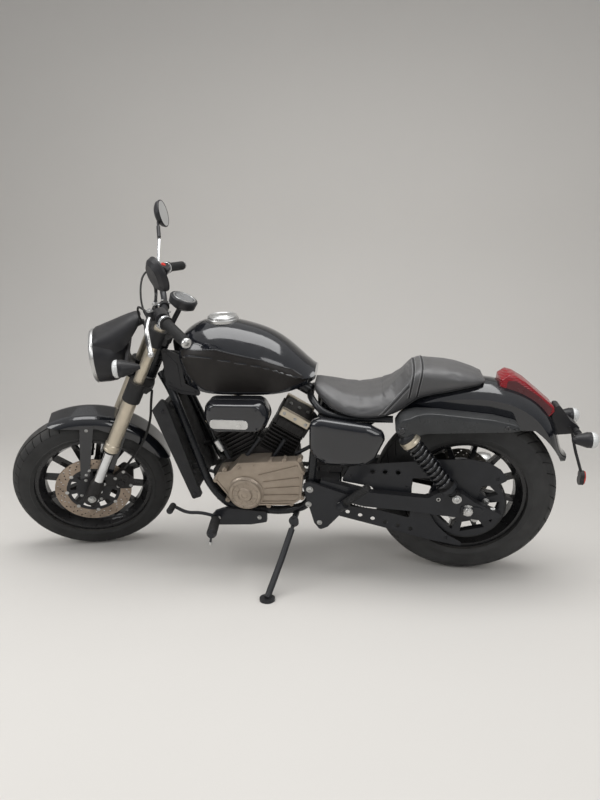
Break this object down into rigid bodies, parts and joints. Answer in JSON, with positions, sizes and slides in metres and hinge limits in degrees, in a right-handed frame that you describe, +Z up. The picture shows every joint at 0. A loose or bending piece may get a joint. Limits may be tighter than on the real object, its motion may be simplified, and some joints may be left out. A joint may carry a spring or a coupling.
{
  "type": "cruiser motorcycle",
  "caption": "Cruiser motorcycle with V-twin engine and belt drive, leaning on its side stand, with turning wheels, steering and a folding stand.",
  "frame": {"origin": "on the ground, under the middle of the bounding box", "axes": "+X towards the rear wheel, +Y to the rider's right, +Z up; the bike leans towards -Y"},
  "size_m": [2.1011, 0.8926, 1.3527],
  "materials": {
    "bronze": "satin",
    "champagne": "satin",
    "chrome": "polished",
    "clear": "polished",
    "disc_steel": "brushed",
    "frame_black": "satin",
    "gloss_black": "gloss",
    "matte_black": "matte",
    "plastic": "matte",
    "red_lens": "gloss",
    "rubber": "matte",
    "seat_cover": "matte",
    "steel": "satin",
    "tyre": "matte"
  },
  "bodies": {
    "main": {"frame": "frame_black", "rear_axle": "steel", "swing_arm": "frame_black", "engine_block": "matte_black", "cylinders": "matte_black", "engine_covers": "bronze", "air_cleaner": "plastic", "exhaust": "matte_black", "radiator": "matte_black", "fuel_tank": "gloss_black", "fuel_cap": "chrome", "rear_fender": "gloss_black", "fender_rails": "plastic", "tail_light": "red_lens", "tail_bracket": "plastic", "seat": "seat_cover", "shocks": "matte_black", "shock_springs": "frame_black", "drive_belt": "rubber", "upper_belt_guard": "plastic", "lower_belt_guard": "plastic", "side_covers": "gloss_black", "neck_covers": "plastic", "foot_pegs": "matte_black", "foot_controls": "matte_black", "rear_caliper": "matte_black"},
    "front_end": {"front_axle": "steel", "fork_legs": "champagne", "fork_clamps": "matte_black", "front_fender": "gloss_black", "front_caliper": "matte_black", "handlebar": "matte_black", "grips": "rubber", "hand_controls": "plastic", "mirrors": "plastic", "headlamp": "plastic", "headlamp_lens": "clear", "front_indicators": "plastic", "instrument": "plastic", "brake_hose": "rubber", "control_cables": "rubber"},
    "front_wheel": {"front_tyre": "tyre", "front_rim": "matte_black", "front_disc": "disc_steel"},
    "rear_wheel": {"rear_tyre": "tyre", "rear_rim": "matte_black", "rear_pulley": "matte_black", "rear_disc": "disc_steel"},
    "side_stand": {"side_stand": "frame_black"}
  },
  "joints": [
    {"name": "steering", "type": "hinge", "parent": "main", "child": "front_end", "pos_m": [-0.46716, 0.0416, 0.7889], "axis": [0.4523, -0.1778, 0.874], "range_deg": [-57.5, 18.5]},
    {"name": "front_wheel_spin", "type": "hinge", "parent": "front_end", "child": "front_wheel", "pos_m": [-0.76241, 0.13257, 0.28512], "axis": [-0.2977, 0.8936, 0.3359], "continuous": true},
    {"name": "rear_wheel_spin", "type": "hinge", "parent": "main", "child": "rear_wheel", "pos_m": [0.64074, 0.1374, 0.31802], "axis": [0, 0.9799, 0.1994], "continuous": true},
    {"name": "side_stand_fold", "type": "hinge", "parent": "main", "child": "side_stand", "pos_m": [0.04699, -0.02824, 0.21931], "axis": [-0.0617, -0.7938, 0.6051], "range_deg": [0, 106.36]}
  ]
}
